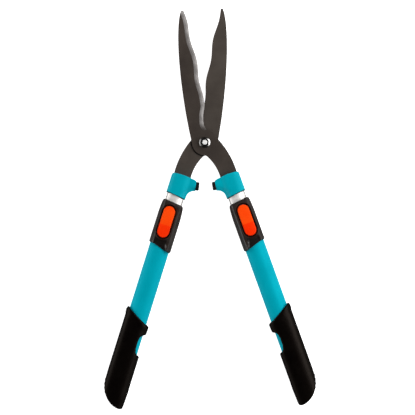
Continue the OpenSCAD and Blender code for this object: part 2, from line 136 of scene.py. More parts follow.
def slice_at(bm, axis, places):
    """Adds an edge loop where each plane across the axis meets the mesh."""
    for place in places:
        everything = bm.verts[:] + bm.edges[:] + bm.faces[:]
        bmesh.ops.bisect_plane(bm, geom=everything, dist=1e-7, plane_co=axis * place, plane_no=axis)


def rounded(bm, edges, width, segments):
    """Rounds edges of a bmesh."""
    bmesh.ops.bevel(
        bm, geom=edges, offset=width, segments=segments, profile=0.5, affect="EDGES", clamp_overlap=True
    )


def moulding(outline, low, high, top_fillet, back_fillet, cuts_s, cuts_t, segments=4):
    """A solid over an outline of (s, t) points, between two surfaces of (s, t), with rounded rims.

    It is built between two flat faces, and its points then move to heights between low and high.
    """
    z0 = min(low(s, t) for s, t in outline)
    z1 = max(high(s, t) for s, t in outline)
    bm = bmesh.new()
    floor = [bm.verts.new((s, t, z0)) for s, t in outline]
    roof = [bm.verts.new((s, t, z1)) for s, t in outline]
    bm.faces.new(floor)
    bm.faces.new(roof)
    for i in range(len(outline)):
        bm.faces.new((floor[i - 1], floor[i], roof[i], roof[i - 1]))
    bmesh.ops.recalc_face_normals(bm, faces=bm.faces)
    for ring, radius in ((roof, top_fillet), (floor, back_fillet)):
        if radius:
            ring = set(ring)
            rim = [e for e in bm.edges if e.verts[0] in ring and e.verts[1] in ring]
            rounded(bm, rim, radius, segments)
    slice_at(bm, Vector((1, 0, 0)), cuts_s)
    slice_at(bm, Vector((0, 1, 0)), cuts_t)
    for v in bm.verts:
        s, t, z = v.co
        below, above = low(s, t), high(s, t)
        v.co.z = below + (above - below) * (z - z0) / (z1 - z0)
    bmesh.ops.remove_doubles(bm, verts=bm.verts, dist=1e-6)
    return bm


def slot_rings(profile, t, s0, s1, steps=14):
    """A closed solid of slot-shaped rings; profile lists (radius, z) from the bottom up."""
    bm = bmesh.new()
    rings = []
    for radius, z in profile:
        far = arc((s1, t), (radius, radius), -90, 90, steps)
        near = arc((s0, t), (radius, radius), 90, 270, steps)
        rings.append([bm.verts.new((a, b, z)) for a, b in far + near])
    for lower, upper in zip(rings, rings[1:]):
        for i in range(len(lower)):
            bm.faces.new((lower[i - 1], lower[i], upper[i], upper[i - 1]))
    bm.faces.new(rings[0])
    bm.faces.new(rings[-1])
    bmesh.ops.recalc_face_normals(bm, faces=bm.faces)
    return bm


def shown(name, bm, side=None, sharp=32):
    """An object from a bmesh, which is in handle coordinates where a side is given."""
    if side:
        bmesh.ops.transform(bm, matrix=FROM_HANDLE[side], verts=bm.verts)
    bmesh.ops.recalc_face_normals(bm, faces=bm.faces)
    mesh = bpy.data.meshes.new(name)
    bm.to_mesh(mesh)
    bm.free()
    mesh.shade_smooth()
    mesh.set_sharp_from_angle(angle=math.radians(sharp))
    obj = bpy.data.objects.new(name, mesh)
    bpy.context.scene.collection.objects.link(obj)
    return obj


def bore(node, side, s0, s1, slack):
    """A solid prism from s0 to s1 with the outer section of a handle's CAD node, slack larger all round."""
    back = FROM_HANDLE[side].inverted()
    section = [(back @ v.co).yz for v in frame["nodes"][node].data.vertices]
    half = (max(p[0] for p in section), max(p[1] for p in section) - mid)
    bm = bmesh.new()
    ends = []
    for s in (s0, s1):
        ends.append([])
        for i in convex_hull_2d(section):
            t = section[i][0] * (1 + slack / half[0])
            z = (section[i][1] - mid) * (1 + slack / half[1])
            ends[-1].append(bm.verts.new((s, t, mid + z)))
    near, far = ends
    for i in range(len(near)):
        bm.faces.new((near[i - 1], near[i], far[i], far[i - 1]))
    bm.faces.new(near)
    bm.faces.new(far)
    bmesh.ops.remove_doubles(bm, verts=bm.verts, dist=1e-6)
    return shown("bore", bm, side)


def carve(obj, *cutters):
    """Takes the cutters' shapes out of obj for good."""
    for cutter in cutters:
        modifier = obj.modifiers.new("carve", "BOOLEAN")
        modifier.operation = "DIFFERENCE"
        modifier.solver = "EXACT"
        modifier.object = cutter
    bpy.context.view_layer.update()
    made = bpy.data.meshes.new_from_object(obj.evaluated_get(bpy.context.evaluated_depsgraph_get()))
    obj.modifiers.clear()
    obj.data = made
    for cutter in cutters:
        bpy.data.objects.remove(cutter)


def place(obj, material, node, slot):
    """Gives a piece its material and the body of the CAD node that it stands for, and hides that node."""
    obj.data.materials.clear()
    obj.data.materials.append(material)
    bodies = frame["record"]["behaviour"]["bodies"]
    body = next(b for b, nodes in bodies.items() if node in nodes)
    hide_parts(node)
    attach(obj, body)


def eased(node, width, sharp=32, segments=2):
    """A copy of a CAD node's shape with its sharp edges rounded."""
    bm = bmesh.new()
    bm.from_mesh(frame["nodes"][node].data)
    bmesh.ops.remove_doubles(bm, verts=bm.verts, dist=2e-6)
    bmesh.ops.dissolve_limit(bm, angle_limit=math.radians(0.6), verts=bm.verts, edges=bm.edges)
    edges = [e for e in bm.edges if len(e.link_faces) == 2 and e.calc_face_angle(0) > math.radians(sharp)]
    rounded(bm, edges, width, segments)
    return bm


# ---- materials ----

GRAIN_SHARE = 0.35  # of the fine grain in the colour, against the blotches
COLOUR_RANGE = (0.45, 0.85)  # of blotches and grain together, from the first colour to the second
NOISE_RANGE = (0.3, 0.7)  # that a noise mostly keeps to
SHINE_SCALE = 6  # the shine varies this many times finer than the blotches
GRAIN_STRENGTH = 0.6


def srgb(*levels):
    """Linear colour of three 0 to 255 values."""
    parts = [c / 255 for c in levels]
    linear = [c / 12.92 if c <= 0.04045 else ((c + 0.055) / 1.055) ** 2.4 for c in parts]
    return tuple(linear) + (1.0,)


def surface(
    name,
    colours,
    roughness,
    metallic=0.0,
    specular=0.5,
    tint=None,
    blotch=35,
    grain=1400,
    grain_height=0.02,
    stretch=(1, 1, 1),
    turn=0.0,
):
    """A material whose colour drifts between two colours, with uneven roughness and a fine grain.

    colours and roughness are pairs. blotch and grain are noise scales per metre, grain_height is in
    millimetres, and turn is the angle of the stretched grain about Z.
    """
    material = bpy.data.materials.new(name)
    material.use_nodes = True
    nodes, links = material.node_tree.nodes, material.node_tree.links
    shader = nodes["Principled BSDF"]
    shader.inputs["Metallic"].default_value = metallic
    shader.inputs["Specular IOR Level"].default_value = specular
    if tint:
        shader.inputs["Specular Tint"].default_value = tint

    where = nodes.new("ShaderNodeTexCoord")
    mapping = nodes.new("ShaderNodeMapping")
    mapping.inputs["Rotation"].default_value = (0, 0, turn)
    mapping.inputs["Scale"].default_value = stretch
    links.new(where.outputs["Object"], mapping.inputs["Vector"])

    def noise(scale, detail, vector):
        node = nodes.new("ShaderNodeTexNoise")
        node.inputs["Scale"].default_value = scale
        node.inputs["Detail"].default_value = detail
        links.new(vector, node.inputs["Vector"])
        return node.outputs["Fac"]

    drift = noise(blotch, 4, where.outputs["Object"])
    fine = noise(grain, 3, mapping.outputs["Vector"])
    blend = nodes.new("ShaderNodeMath")
    blend.operation = "MULTIPLY_ADD"
    blend.inputs[1].default_value = GRAIN_SHARE
    links.new(fine, blend.inputs[0])
    links.new(drift, blend.inputs[2])
    ramp = nodes.new("ShaderNodeValToRGB")
    for element, position, colour in zip(ramp.color_ramp.elements, COLOUR_RANGE, colours):
        element.position = position
        element.color = colour
    links.new(blend.outputs[0], ramp.inputs["Fac"])
    links.new(ramp.outputs["Color"], shader.inputs["Base Color"])

    shine = nodes.new("ShaderNodeMapRange")
    shine.inputs["From Min"].default_value = NOISE_RANGE[0]
    shine.inputs["From Max"].default_value = NOISE_RANGE[1]
    shine.inputs["To Min"].default_value = roughness[0]
    shine.inputs["To Max"].default_value = roughness[1]
    links.new(noise(blotch * SHINE_SCALE, 5, mapping.outputs["Vector"]), shine.inputs["Value"])
    links.new(shine.outputs["Result"], shader.inputs["Roughness"])

    bump = nodes.new("ShaderNodeBump")
    bump.inputs["Strength"].default_value = GRAIN_STRENGTH
    bump.inputs["Distance"].default_value = grain_height * MM
    links.new(fine, bump.inputs["Height"])
    links.new(bump.outputs["Normal"], shader.inputs["Normal"])
    return material


def stain(material, mask, colour):
    """Lets another colour through where mask, a socket of the material's nodes, is 1."""
    nodes, links = material.node_tree.nodes, material.node_tree.links
    colour_in = nodes["Principled BSDF"].inputs["Base Color"]
    mix = nodes.new("ShaderNodeMix")
    mix.data_type = "RGBA"
    factor, first, second = (s for s in mix.inputs if s.identifier in ("Factor_Float", "A_Color", "B_Color"))
    links.new(mask, factor)
    links.new(colour_in.links[0].from_socket, first)
    second.default_value = colour
    links.new(next(s for s in mix.outputs if s.identifier == "Result_Color"), colour_in)


def distance_mask(material, origin, fade, along=None):
    """A socket that runs from 0 at the first distance of fade from origin to 1 at the second.

    The distance is measured along a direction if one is given, and otherwise all round in the XY plane.
    """
    nodes, links = material.node_tree.nodes, material.node_tree.links

    def vector_math(operation, first, second=None):
        node = nodes.new("ShaderNodeVectorMath")
        node.operation = operation
        links.new(first, node.inputs[0])
        if second is not None:
            node.inputs[1].default_value = second
        return node.outputs

    where = nodes.new("ShaderNodeTexCoord")
    offset = vector_math("SUBTRACT", where.outputs["Object"], origin)["Vector"]
    if along is None:
        level = vector_math("MULTIPLY", offset, (1, 1, 0))["Vector"]
        distance = vector_math("LENGTH", level)["Value"]
    else:
        distance = vector_math("DOT_PRODUCT", offset, along)["Value"]
    size = nodes.new("ShaderNodeMath")
    size.operation = "ABSOLUTE"
    links.new(distance, size.inputs[0])
    step = nodes.new("ShaderNodeMapRange")
    step.interpolation_type = "SMOOTHSTEP"
    step.inputs["From Min"].default_value = fade[0]
    step.inputs["From Max"].default_value = fade[1]
    links.new(size.outputs[0], step.inputs["Value"])
    return step.outputs["Result"]


def both(material, first, second):
    """The product of two masks."""
    product = material.node_tree.nodes.new("ShaderNodeMath")
    product.operation = "MULTIPLY"
    material.node_tree.links.new(first, product.inputs[0])
    material.node_tree.links.new(second, product.inputs[1])
    return product.outputs[0]


def handle_pair(name, colours, roughness, grain_along=False, **looks):
    """A material for each handle, if asked with its grain stretched along the handle."""
    pair = {}
    for side in SIDES:
        axis = joints[side + "_extend"]["axis"]
        turn = -math.atan2(axis[0], -axis[1]) if grain_along else 0.0
        pair[side] = surface(name + "_" + side, colours, roughness, turn=turn, **looks)
    return pair


coated_front = surface(
    "coated_steel_front", (srgb(46, 39, 35), srgb(63, 55, 49)), (0.46, 0.56),
    specular=0.2, blotch=22, grain=2600, grain_height=0.01,
)
coated_rear = surface(
    "coated_steel_rear", (srgb(54, 47, 42), srgb(72, 65, 59)), (0.46, 0.56),
    specular=0.2, blotch=22, grain=2600, grain_height=0.01,
)
ground = surface(
    "ground_steel", (srgb(98, 94, 92), srgb(140, 136, 134)), (0.4, 0.5), metallic=0.35,
    specular=0.3, blotch=70, grain=700, grain_height=0.004, stretch=(1, 0.04, 1),
)
plated = surface(
    "plated_steel", (srgb(205, 203, 201), srgb(222, 220, 218)), (0.26, 0.34),
    metallic=0.85, blotch=200, grain=3000, grain_height=0.002,
)
# Near-white steel that mostly scatters: a painted highlight for the bolt's bright head.
bright = surface(
    "bolt_painted_highlight", (srgb(240, 238, 235), srgb(250, 249, 247)), (0.22, 0.3),
    metallic=0.15, blotch=200, grain=3000, grain_height=0.002,
)
washer_steel = surface(
    "washer_steel", (srgb(178, 176, 174), srgb(198, 196, 194)), (0.28, 0.36),
    metallic=0.85, blotch=200, grain=3000, grain_height=0.002,
)
blackened = surface(
    "blackened_steel", (srgb(12, 11, 11), srgb(26, 24, 23)), (0.3, 0.4), metallic=0.3,
    specular=0.3, blotch=200, grain=3000, grain_height=0.003,
)
spring_steel = surface(
    "spring_steel", (srgb(150, 150, 152), srgb(185, 185, 188)), (0.25, 0.4), metallic=1.0, blotch=150,
)
bronze = surface("bronze", (srgb(150, 108, 52), srgb(190, 148, 82)), (0.3, 0.45), metallic=1.0, blotch=150)
teal_plastic = handle_pair(
    "teal_plastic", (srgb(0, 152, 168), srgb(0, 162, 178)), (0.34, 0.44),
    specular=0.3, tint=srgb(60, 215, 230), blotch=30, grain=2400, grain_height=0.012,
)
teal_tube = handle_pair(
    "teal_tube", (srgb(0, 153, 171), srgb(0, 163, 181)), (0.4, 0.5), grain_along=True, metallic=0.06,
    specular=0.18, tint=srgb(60, 215, 230), blotch=18, grain=2500, grain_height=0.006, stretch=(1, 0.15, 1),
)
anodised = handle_pair(
    "anodised_aluminium", (srgb(232, 227, 223), srgb(242, 238, 234)), (0.3, 0.4), grain_along=True,
    metallic=0.25, blotch=40, grain=3200, grain_height=0.006, stretch=(1, 0.04, 1),
)
sleeve_plastic = handle_pair(
    "sleeve_plastic", (srgb(27, 21, 18), srgb(44, 36, 31)), (0.26, 0.36),
    specular=0.42, blotch=60, grain=2000, grain_height=0.025,
)
# A darker, redder copy of the sleeve plastic that hardly reflects: painted shade in the button's well.
well_painted_shade = surface(
    "well_painted_shade", (srgb(14, 4, 2), srgb(26, 9, 5)), (0.6, 0.75),
    specular=0.05, blotch=60, grain=2000, grain_height=0.02,
)
orange_plastic = surface(
    "orange_plastic", (srgb(252, 62, 8), srgb(255, 78, 14)), (0.24, 0.32),
    specular=0.4, tint=srgb(255, 120, 60), blotch=30, grain=2600, grain_height=0.008,
)
# A darker copy of the orange: painted shade on the lower part of each button cap.
orange_shaded_copy = surface(
    "orange_plastic_painted_shade", (srgb(248, 42, 4), srgb(252, 56, 8)), (0.24, 0.32),
    specular=0.4, tint=srgb(255, 120, 60), blotch=30, grain=2600, grain_height=0.008,
)
grip_rubber = surface(
    "grip_rubber", (srgb(3, 1, 1), srgb(6, 4, 3)), (0.3, 0.4),
    specular=0.07, tint=srgb(255, 235, 220), blotch=45, grain=1500, grain_height=0.05,
)
bumper_rubber = surface(
    "bumper_rubber", (srgb(5, 5, 5), srgb(12, 11, 11)), (0.5, 0.65),
    specular=0.15, blotch=90, grain=1800, grain_height=0.05,
)
black_nylon = surface("black_nylon", (srgb(34, 34, 36), srgb(50, 50, 52)), (0.4, 0.55), blotch=80)

# Painted shade and painted shadow: each is a darker colour inside a mask, put where the lights leave too little
# shade. A fade lists the distance where the mask starts and the distance where it is full.

COVERED_S = 140 * MM  # middle of the stretch of outer tube that the sleeve hides
UNDER_SLEEVE_SHADE_FADE = (36 * MM, 33 * MM)
COLLAR_LIP_S = 97.95 * MM
COLLAR_LIP_SLANT = 0.13  # how far the collar's lower end moves along the handle for each step inwards
COLLAR_LIP_SHADE_FADE = (2.5 * MM, 1.7 * MM)
TUBE_SIDE_SHADE_FADE = (13.2 * MM, 14.4 * MM)
SLEEVE_SHADE_LINE = 4.6 * MM  # middle of the painted shade line, before the sleeve's far end
SLEEVE_SHADE_SLANT = 0.247
SLEEVE_SHADE_FADE = (2.2 * MM, 1.3 * MM)
PANEL_S = 182 * MM  # middle of the sunken panel beyond the button
PANEL_SHADE_FADES = (10 * MM, 7 * MM), (12 * MM, 9.5 * MM)  # along the handle and across it
WASHER_SHADE_FADE = (4 * MM, 7 * MM)  # of the painted shade above and below the pivot
BOSS_SHADOW = Vector((-0.9, -1.2, 0)) * MM  # middle of the painted shadow ring that the front blade's boss casts on the rear blade, from the pivot
BOSS_SHADOW_FADE = (22.9 * MM, 22.1 * MM)
HEEL_SHADE = Vector((0.5, 22, 0)) * MM  # middle of the painted shadow where the bevel ends at the blade's heel, from the pivot
HEEL_SHADE_FADE = (15 * MM, 1 * MM)

for side in SIDES:
    along, out = toward(side, 1, 0), toward(side, 0, 1)

    tube = teal_tube[side]
    # painted shade: the outer tube turns near-black under the sleeve, so the gap round the button looks dark
    under_sleeve_shade = distance_mask(tube, on_handle(side, COVERED_S), UNDER_SLEEVE_SHADE_FADE, along)
    stain(tube, under_sleeve_shade, srgb(8, 6, 5))

    plastic = teal_plastic[side]
    slant = toward(side, 1, COLLAR_LIP_SLANT)
    # painted shade: a dark teal line along the collar's lower end, where it meets the inner tube
    collar_lip_shade = distance_mask(plastic, on_handle(side, COLLAR_LIP_S), COLLAR_LIP_SHADE_FADE, slant)
    stain(plastic, collar_lip_shade, srgb(0, 62, 68))

    metal = anodised[side]
    # painted shade: the silver tube's narrow sides are greyer
    edges = distance_mask(metal, on_handle(side, 0), TUBE_SIDE_SHADE_FADE, out)
    stain(metal, edges, srgb(110, 108, 106))

    plastic = sleeve_plastic[side]
    panel = on_handle(side, PANEL_S, BUTTON_T)
    # painted shade: darker in the sunken panel beyond the button
    near = distance_mask(plastic, panel, PANEL_SHADE_FADES[0], along)
    amid = distance_mask(plastic, panel, PANEL_SHADE_FADES[1], out)
    stain(plastic, both(plastic, near, amid), srgb(15, 10, 8))
    # painted shade: a black line along the sleeve's slanting far end
    slant = toward(side, 1, SLEEVE_SHADE_SLANT)
    sleeve_shade_place = on_handle(side, reach("lock_sleeve_" + side)[1][0] - SLEEVE_SHADE_LINE)
    stain(plastic, distance_mask(plastic, sleeve_shade_place, SLEEVE_SHADE_FADE, slant), srgb(4, 3, 2))

# painted shade: the washer is darker above and below the pivot, standing in for its dark reflections
stain(washer_steel, distance_mask(washer_steel, pivot, WASHER_SHADE_FADE, (0, 1, 0)), srgb(46, 43, 42))
# painted shadow: a dark ring on the rear blade round the front blade's boss, offset to the lower left
stain(coated_rear, distance_mask(coated_rear, pivot + BOSS_SHADOW, BOSS_SHADOW_FADE), srgb(8, 7, 6))
# painted shadow where the bevel ends at the blade's heel
stain(ground, distance_mask(ground, pivot + HEEL_SHADE, HEEL_SHADE_FADE), srgb(54, 48, 44))

# ---- grips ----

GRIP_POWER = 2.45  # of the grip's oval section
GRIP_FILLET = 2.2 * MM
RIM = 0.6 * MM  # how far the band at the mouth stands proud
LIP = 1.1 * MM  # how far the outline steps out at the mouth
MOUTH_SLANT = 22 / 39.7  # how far the mouth moves along the handle for each step inwards
MOUTH_BAND = 11 * MM
RIB_ANGLES = (6, 15, 24, 33)  # degrees round the heel, of its finger ribs
RIB_WIDTH = 6.5  # degrees
RIB_SWELL = 0.018
HEEL = (425.5 * MM, -17.7 * MM)  # middle of the heel's curve
HEEL_OUT = 39.2 * MM


def grip(side):
    """A grip with a proud band at its slanting mouth, a window at its inner side and ribs on its heel."""
    (s0, t0, _), (s1, t1, _) = reach("grip_" + side)
    centre_t = (t0 + t1) / 2
    half = (t1 - t0) / 2 - RIM
    heel_along = s1 - HEEL[0] + 0.4 * MM

    def heel_point(angle):
        swell = sum(max(0.0, 1 - abs(angle - rib) / (RIB_WIDTH / 2)) ** 0.6 for rib in RIB_ANGLES)
        a = math.radians(angle)
        k = 1 + RIB_SWELL * swell
        return (HEEL[0] + heel_along * k * math.sin(a), HEEL[1] + HEEL_OUT * k * math.cos(a))

    side_t = centre_t + half
    window_end = centre_t / MM - half / MM - 0.6  # in millimetres
    outline = [(s0 + 22 * MM, -19.5 * MM), (s0 - 0.8 * MM, 20.6 * MM), (s0 + 1.2 * MM, side_t + 0.5 * MM)]
    outline += [(s0 + 4 * MM, side_t + LIP), (s0 + 9 * MM, side_t + LIP), (s0 + 12 * MM, side_t)]
    outline += [(s0 + 60 * MM, side_t), (HEEL[0] - 8 * MM, side_t)]
    outline += [heel_point(a) for a in range(0, 88, 2)]
    outline += [(s1, -17.5 * MM)] + in_mm((470.2, -20.4), (467, -21.6), (440, -22.6))
    outline += [(430 * MM, centre_t - half), (379.5 * MM, centre_t - half)]
    outline += in_mm((378, -22.2), (376, -17.6), (371, -14.4), (364, -13), (352, -12.8), (345, -14))
    outline += in_mm((341.4, -16.6), (338.6, -21.8), (337, -22.4), (333, window_end), (325.4, window_end))
    outline += in_mm((323.9, -21.4))

    def half_height(s, t):
        behind = s - (s0 + (20.2 * MM - t) * MOUTH_SLANT)
        proud = RIM * smooth((MOUTH_BAND - behind) / (2.5 * MM))
        height = oval_height(t - centre_t, half + RIM * 1.2 + proud, mid + proud, GRIP_POWER)
        narrowing = 1 - 0.10 * smooth((s - 440 * MM) / (32 * MM)) ** 2
        return max(0.5 * MM, height * narrowing)

    bm = moulding(
        outline,
        lambda s, t: max(0.0, mid - half_height(s, t)),
        lambda s, t: mid + half_height(s, t),
        GRIP_FILLET,
        GRIP_FILLET,
        evenly(s0, s1, 4 * MM),
        spread(t0, t1, 26),
    )
    place(shown("grip_shell_" + side, bm, side), grip_rubber, "grip_" + side, "grip_rubber")


# ---- locking sleeves ----

WELL_GAP = 1.2 * MM  # between the button and the wall of its well
RIM_GAP = 3.0 * MM  # between the button and the outside of the well's rounded rim
SLEEVE_HALF = 20.1 * MM
SLEEVE_TAIL = 9.2 * MM  # how much further the sleeve reaches at its inner side than at its outer side
SLEEVE_FILLETS = (1.3 * MM, 4.5 * MM)  # front and back
SHOULDER = 6.8 * MM  # how far the front falls away at both sides
CROWN = 0.9 * MM  # how far it curves down from its middle line
MOUTH_DROP = 1.6 * MM  # how far it falls towards the collar
PANEL_DROP = 3.6 * MM  # depth of the sunken panel at the far end
PANEL_HALF = 8.5 * MM  # half the panel's width where it begins


def sleeve(side):
    """A locking sleeve with the button's well, a sunken panel beyond it and bores for the tubes."""
    (s0, t0, _), (s1, t1, top) = reach("lock_sleeve_" + side)
    (b0, c0, _), (b1, c1, _) = reach("lock_button_" + side)
    radius = (c1 - c0) / 2

    def tail(t):
        """Where the sleeve's slanting far end is."""
        return s1 - SLEEVE_TAIL * (1 - smooth((19 * MM - t) / (40 * MM)))

    outline = [(tail(19.4 * MM) - 1.2 * MM, SLEEVE_HALF)]
    outline += in_mm((160, 20.1), (132, 20), (121, 19.6), (112, 18.8), (109.6, 18.2), (108.2, 17.1))
    outline += [(s0, 15.6 * MM), (s0 + 3.4 * MM, -14.6 * MM)]
    outline += in_mm((111.9, -16.6), (114, -17.9), (118, -18.7), (126, -19.4), (136, -19.9), (160, -20))
    outline += [(s1 - 1.6 * MM, -20 * MM), (s1 - 0.3 * MM, -19 * MM)]
    outline += [(tail(t * MM), t * MM) for t in range(-17, 19, 3)]
    outline += [(tail(19 * MM), 18.8 * MM)]

    def high(s, t):
        edge = SLEEVE_HALF - abs(t)
        shoulder = SHOULDER * (1 - smooth(edge / (7.5 * MM))) ** 1.15
        crown = CROWN * (t / SLEEVE_HALF) ** 2
        mouth = MOUTH_DROP * (1 - smooth((s - s0) / (9 * MM)))
        behind = s - (b1 + RIM_GAP)
        panel_half = PANEL_HALF + 0.42 * max(0.0, behind)
        inside = smooth((panel_half - abs(t - BUTTON_T)) / (2.2 * MM))
        panel = PANEL_DROP * smooth(behind / (15 * MM)) * inside
        return top - crown - mouth - shoulder - panel

    cuts_s, cuts_t = evenly(s0, s1, 2.5 * MM), evenly(t0, t1, 1.7 * MM)
    bm = moulding(outline, lambda s, t: 0.0, high, *SLEEVE_FILLETS, cuts_s, cuts_t, segments=3)
    obj = shown("sleeve_shell_" + side, bm, side)
    wall, rim = radius + WELL_GAP, radius + RIM_GAP
    well = [
        (wall, mid + 8 * MM),
        (wall, top - 1.9 * MM),
        (wall + 0.4 * MM, top - 1.5 * MM),
        (rim - 0.6 * MM, top - 1.3 * MM),
        (rim, top - 0.9 * MM),
        (rim + 0.5 * MM, top - 0.2 * MM),
        (rim + 1.2 * MM, top + 0.8 * MM),
    ]
    cutter = shown("well", slot_rings(well, BUTTON_T, b0 + radius, b1 - radius), side)
    bush_s = reach("guide_bush_" + side)[0][0] - 0.2 * MM  # here the wider bore begins
    front = bore("inner_tube_" + side, side, s0 - 4 * MM, bush_s + 2 * MM, 0.3 * MM)
    rear = bore("outer_tube_" + side, side, bush_s, s1 + 4 * MM, 0.1 * MM)
    carve(obj, cutter, front, rear)
    obj.data.shade_smooth()
    obj.data.set_sharp_from_angle(angle=math.radians(28))
    place(obj, sleeve_plastic[side], "lock_sleeve_" + side, "sleeve_plastic")
    # the faces in and round the well take the painted shade
    obj.data.materials.append(well_painted_shade)
    back = FROM_HANDLE[side].inverted()
    for face in obj.data.polygons:
        centre = back @ face.center
        along = centre.x - min(max(centre.x, b0 + radius), b1 - radius)
        if centre.z > mid + 7 * MM and math.hypot(along, centre.y - BUTTON_T) < rim - 0.2 * MM:
            face.material_index = 1


# ---- lock buttons ----

PRESS = math.radians(3)  # how far a button rocks about its axle
CAP_FILLET = 1.7 * MM
CAP_CROWN = 0.9 * MM  # how far the cap curves down at its sides
CAP_LOWER_DROP = 1.1 * MM  # how far it slopes down beyond its kink
CAP_UPPER_DROP = 0.35 * MM
CAP_BELOW = 12.3 * MM  # underside of the cap's upper part, above the handle's middle
CAP_BELOW_LOW = 13.3 * MM  # underside of its lower part
HOLLOW_HALF = 5.5 * MM  # half the width of the hollow over the spring
HOLLOW_GAP = 0.15 * MM  # between the hollow and the spring when the button is pressed


def button(side):
    """A button's cap: its upper part is nearly level, and its lower part slopes and carries painted shade, a
    darker copy of the orange.
    """
    (b0, c0, _), (b1, c1, top) = reach("lock_button_" + side)
    radius = (c1 - c0) / 2
    kink = b0 + 0.6 * (b1 - b0)
    (s0, _, spring_low), (s1, _, spring_top) = reach("button_spring_" + side)
    spring_foot = spring_low + 0.4 * MM  # the upper face of the strip at its ends
    (a0, _, _), (a1, _, _) = reach("button_axle_" + side)
    axle_s = (a0 + a1) / 2
    outline = arc((b1 - radius, BUTTON_T), (radius, radius), -90, 90, 19)
    outline += arc((b0 + radius, BUTTON_T), (radius, radius), 90, 270, 19)

    def high(s, t):
        across = CAP_CROWN * ((t - BUTTON_T) / radius) ** 2
        lower = CAP_LOWER_DROP * max(0.0, s - kink) / (b1 - kink)
        upper = CAP_UPPER_DROP * smooth((kink - s) / (kink - b0)) ** 2
        return top - across - lower - upper

    def low(s, t):
        """The underside, which clears the bowed spring when the button is pressed."""
        if s < kink + 0.5 * MM:
            return mid + CAP_BELOW
        if abs(t - BUTTON_T) > HOLLOW_HALF:
            return mid + CAP_BELOW_LOW
        bow = (spring_top - spring_foot) * (1 - ((2 * s - s0 - s1) / (s1 - s0)) ** 2)
        return max(mid + CAP_BELOW_LOW, spring_foot + bow + PRESS * (s - axle_s) + HOLLOW_GAP)

    cuts = evenly(b0, b1, 2.4 * MM) + [kink]
    bm = moulding(outline, low, high, CAP_FILLET, 0, cuts, spread(c0, c1, 12), segments=5)
    bm.faces.index_update()
    # these faces take the darker orange as painted shade
    shaded_faces = [f.index for f in bm.faces if f.calc_center_median().x > kink]
    obj = shown("button_cap_" + side, bm, side)
    place(obj, orange_plastic, "lock_button_" + side, "orange_plastic")
    obj.data.materials.append(orange_shaded_copy)
    for index in shaded_faces:
        obj.data.polygons[index].material_index = 1


# ---- collars ----

COLLAR_HALF = 17.7 * MM  # half the width of the collar's oval section
COLLAR_TOP = 12 * MM
COLLAR_POWER = 2.3
COLLAR_LEAST = 2.5 * MM  # half the collar's height at its sides
COLLAR_FILLET = 1.5 * MM
ARM_HALF = 7.5 * MM  # half the height of the arm that carries the stop
CROOK = (94.4 * MM, -31.4 * MM)  # middle of the hollow curve below the arm
CROOK_R = 14.4 * MM
VALLEY = 5 * MM  # how far the web between the arm and the collar's lower end falls away


def collar(side):
    """A collar round the blade's tang and the inner tube, with the arm that carries the stop."""
    (s0, t0, _), (s1, t1, _) = reach("collar_" + side)
    outline = in_mm((96, 17.2), (80, 17.2), (64.6, 17.2), (62.6, 16.6), (61.2, 14.8))
    outline += [((59.8 + 0.006 * t * t) * MM, t * MM) for t in range(12, -18, -3)]
    outline += in_mm((61.9, -22), (63, -25.8), (64.1, -26.6), (78.9, -29.2))
    for angle in range(-78, -8, 10):
        a = math.radians(angle)
        outline.append((CROOK[0] + CROOK_R * math.sin(a), CROOK[1] + CROOK_R * math.cos(a)))
    outline += in_mm((96, -17.1), (99.8, -16.9), (100, -15.6))
    for t in range(-12, 17, 3):
        end = 96 + COLLAR_LIP_SLANT * (15 - t) - 0.8 * (1 - (t / 15) ** 2)
        outline.append((end * MM, t * MM))

    def body(t):
        return oval_height(t, COLLAR_HALF, COLLAR_TOP, COLLAR_POWER)

    def high(s, t):
        if t >= 0:
            return mid + max(body(t), COLLAR_LEAST)
        inside = math.hypot(s - CROOK[0], t - CROOK[1]) - CROOK_R
        web = VALLEY * smooth(1 - inside / (9 * MM)) * smooth((-6 * MM - t) / (6 * MM))
        return mid + max(1.5 * MM, soft_max(body(t), ARM_HALF, 2.5 * MM) - web)

    def low(s, t):
        if t > 0:
            return mid - soft_max(min(mid, body(t) * 1.17), COLLAR_LEAST, 0.1 * MM)
        return (mid - ARM_HALF) * smooth((-14 * MM - t) / (4 * MM))

    cuts_s, cuts_t = evenly(s0, s1, 2.5 * MM), evenly(t0, t1, 1.5 * MM)
    bm = moulding(outline, low, high, COLLAR_FILLET, COLLAR_FILLET, cuts_s, cuts_t)
    place(shown("collar_shell_" + side, bm, side), teal_plastic[side], "collar_" + side, "teal_plastic")


def bumper(side):
    obj = shown("bumper_block_" + side, eased("bumper_" + side, 0.7 * MM, segments=3))
    place(obj, bumper_rubber, "bumper_" + side, "bumper_rubber")


for side in SIDES:
    grip(side)
    sleeve(side)
    button(side)
    collar(side)
    bumper(side)

# ---- blades and pivot ----

BEVEL_TILT = (12, 35)  # degrees from the flat between which a face belongs to the ground bevel
BEVEL_LEAST = 4 * MM * MM  # the smallest face that does
WASHER_BORE = 4.4 * MM


def blade(name, coating):
    """A blade with its arm: coated all over but for the ground bevel along its edge."""
    obj = shown(name + "_steel", eased(name, 0.22 * MM))
    flatten = obj.modifiers.new("flatten", "WEIGHTED_NORMAL")
    flatten.weight = 100
    flatten.keep_sharp = True
    place(obj, coating, name, "coated_steel")
    obj.data.materials.append(ground)
    for face in obj.data.polygons:
        tilt = math.degrees(math.acos(min(1.0, abs(face.normal.z))))
        if BEVEL_TILT[0] < tilt < BEVEL_TILT[1] and face.area > BEVEL_LEAST:
            face.material_index = 1


